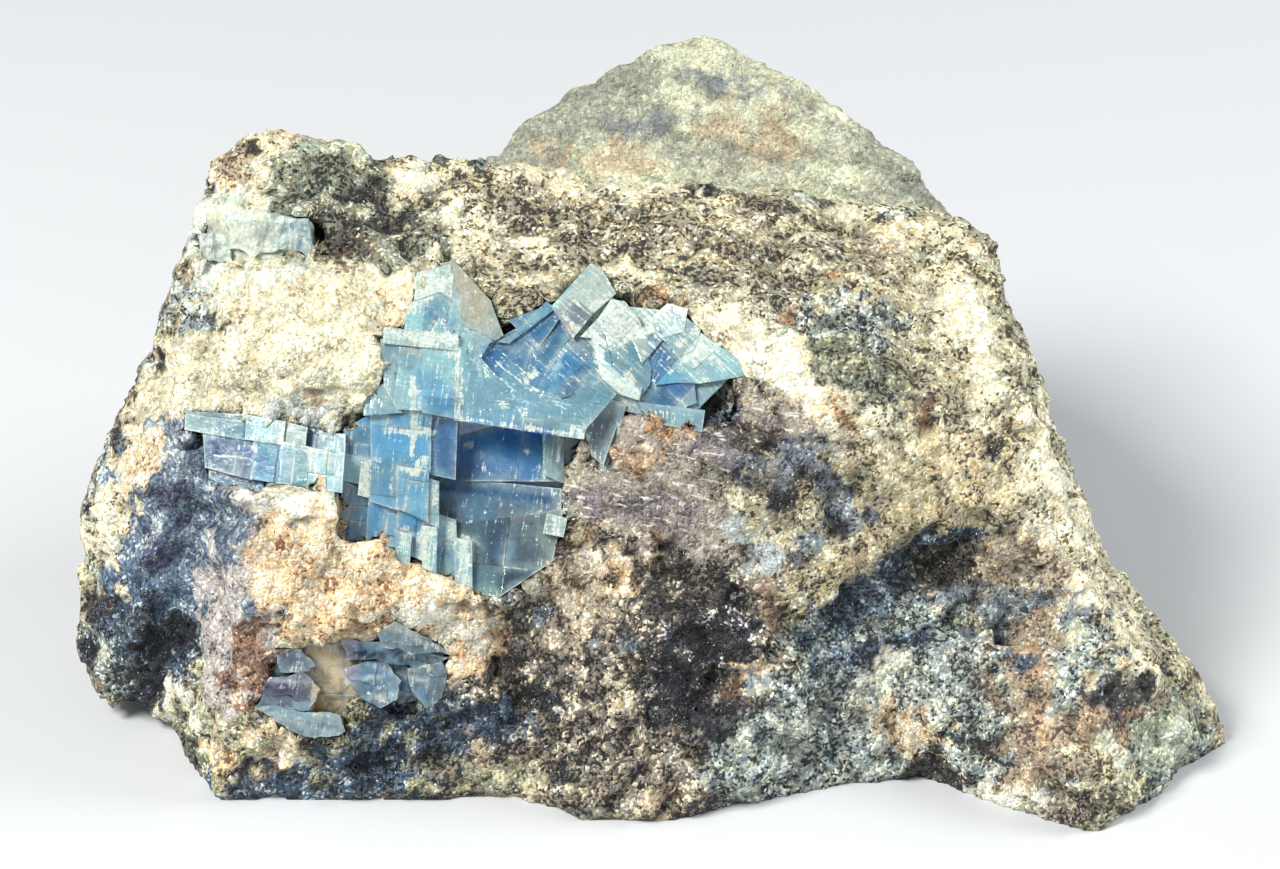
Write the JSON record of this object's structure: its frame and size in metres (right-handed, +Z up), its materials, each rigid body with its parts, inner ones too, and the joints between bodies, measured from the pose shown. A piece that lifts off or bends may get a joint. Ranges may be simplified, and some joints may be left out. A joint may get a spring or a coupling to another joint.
{
  "type": "blue calcite specimen",
  "caption": "Broken block of skarn rock with cleaved blue calcite grown in its front face, standing on a flat foot.",
  "frame": {"origin": "on the plane of the flat foot, under the middle of the bounding box", "axes": "+X along the rock's width, to the right when the blue calcite faces the viewer; +Y away from the viewer; +Z up"},
  "size_m": [0.1012, 0.0666, 0.0477],
  "materials": {
    "skarn": "rough broken granular rock, cream and orange calcite with dark green and brown grains",
    "blue_calcite": "vitreous flat cleavage faces, pale to slate blue, translucent with white fractures",
    "slate_calcite": "vitreous cleavage plates, grey-blue and mauve-grey, translucent",
    "pale_calcite": "pale blue-grey cleavage faces, clouded"
  },
  "bodies": {
    "root": {"matrix_rock": "skarn", "blue_calcite": "blue_calcite", "slate_calcite": "slate_calcite", "pale_calcite": "pale_calcite"}
  },
  "joints": []
}
